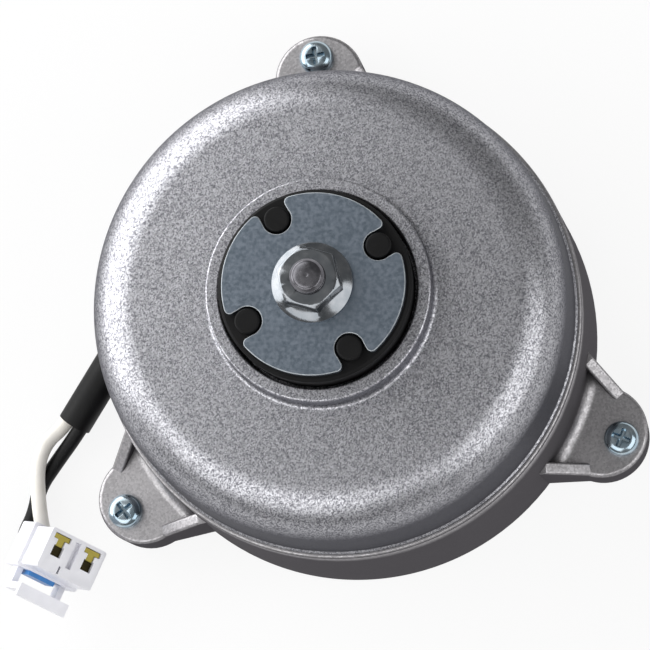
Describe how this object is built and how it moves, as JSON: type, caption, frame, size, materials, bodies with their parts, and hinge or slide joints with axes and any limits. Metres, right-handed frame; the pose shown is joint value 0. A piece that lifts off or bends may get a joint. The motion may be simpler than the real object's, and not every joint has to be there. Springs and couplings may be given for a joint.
{
  "type": "shaded-pole fan motor",
  "caption": "Round shaded-pole fan motor with a domed die-cast body, eared mounting flange, rubber fan drive pad under a notched clamp plate, and a short two-wire lead with a plug.",
  "frame": {"origin": "centre of the flat rear face, on the shaft's axis", "axes": "+Z along the shaft towards the fan drive, +Y towards the ear that is uppermost in the picture, the lead leaves the wall towards -X"},
  "size_m": [0.1215, 0.1117, 0.0713],
  "materials": {
    "black_vinyl": "satin",
    "black_rubber": "matt",
    "crimp_cap": "satin",
    "cast_aluminium": "fine as-cast texture",
    "zinc_steel": "bright zinc plate",
    "plate_zinc": "blue zinc plate",
    "lamination_steel": "dull",
    "shaft_steel": "ground",
    "copper": "enamelled",
    "nylon_bobbin": "satin",
    "sintered_bronze": "oiled",
    "felt": "matt",
    "white_vinyl": "satin",
    "white_nylon": "semi-gloss",
    "blue_nylon": "semi-gloss",
    "brass": "plain"
  },
  "bodies": {
    "stator": {"lead_sleeve": "black_vinyl", "lead_grommet": "black_rubber", "lead_splices": "crimp_cap", "rear_housing": "cast_aluminium", "front_shell": "cast_aluminium", "ear_screws": "zinc_steel", "shell_screws": "zinc_steel", "stator_core": "lamination_steel", "shading_rings": "copper", "coil_bobbin_1": "nylon_bobbin", "coil_bobbin_2": "nylon_bobbin", "coil_bobbin_3": "nylon_bobbin", "coil_bobbin_4": "nylon_bobbin", "stator_coil_1": "copper", "stator_coil_2": "copper", "stator_coil_3": "copper", "stator_coil_4": "copper", "stator_screws": "zinc_steel", "bearing_sleeve": "sintered_bronze", "bearing_plug": "cast_aluminium", "thrust_washer": "nylon_bobbin", "oil_wick": "felt", "white_lead": "white_vinyl", "black_lead": "black_vinyl", "plug_housing": "white_nylon", "plug_terminals": "brass", "plug_retainer": "blue_nylon"},
    "rotor": {"shaft": "shaft_steel", "retaining_ring": "shaft_steel", "rotor_core": "lamination_steel", "rotor_cage": "cast_aluminium", "rotor_hub": "zinc_steel", "hub_disc": "zinc_steel", "drive_pad": "black_rubber", "clamp_plate": "plate_zinc", "flange_nut": "plate_zinc"}
  },
  "joints": [
    {"name": "rotor_spin", "type": "hinge", "parent": "stator", "child": "rotor", "pos_m": [0, 0, 0], "axis": [0, 0, 1], "continuous": true}
  ]
}
